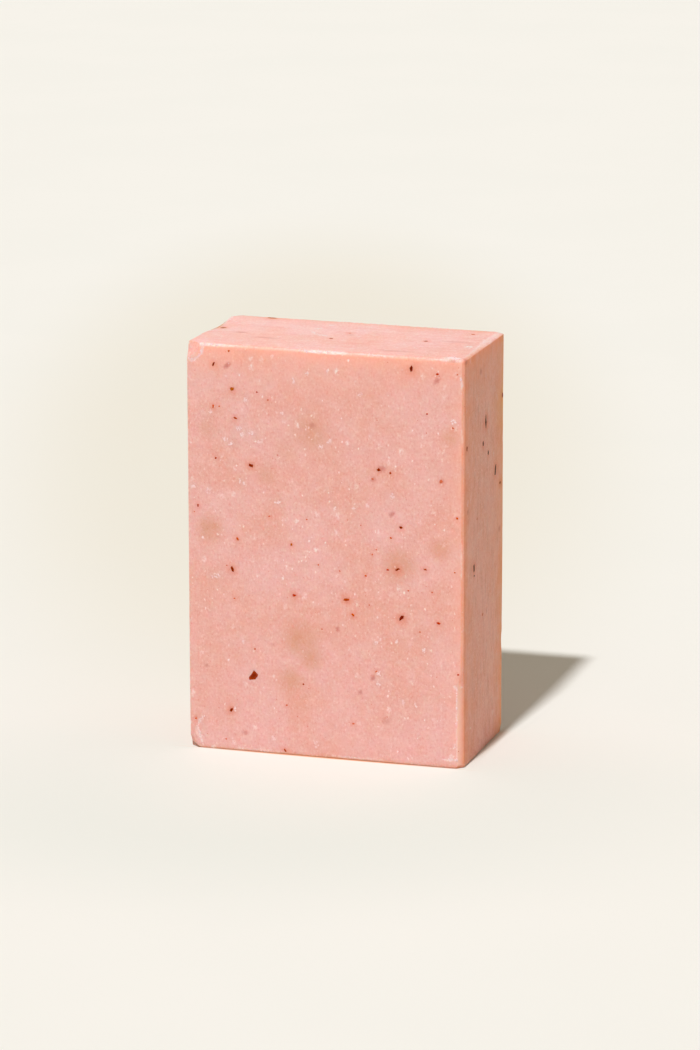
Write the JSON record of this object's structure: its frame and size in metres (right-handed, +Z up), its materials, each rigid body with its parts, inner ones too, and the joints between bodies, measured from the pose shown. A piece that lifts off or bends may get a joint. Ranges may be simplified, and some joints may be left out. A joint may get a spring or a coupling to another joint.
{
  "type": "bar of soap",
  "caption": "Rectangular bar of hand-cut soap with worn edges, chipped corners and flecks of plant matter; stands on its short end and is held in the hand to wash with",
  "frame": {"origin": "middle of the short end that the bar stands on, at the centre of its width and thickness", "axes": "+Z up along the height, +X right along the width, -Y out of the front face"},
  "size_m": [0.0554, 0.0286, 0.0806],
  "materials": {
    "soap": "satin"
  },
  "bodies": {
    "root": {"soap_bar": "soap"}
  },
  "joints": []
}
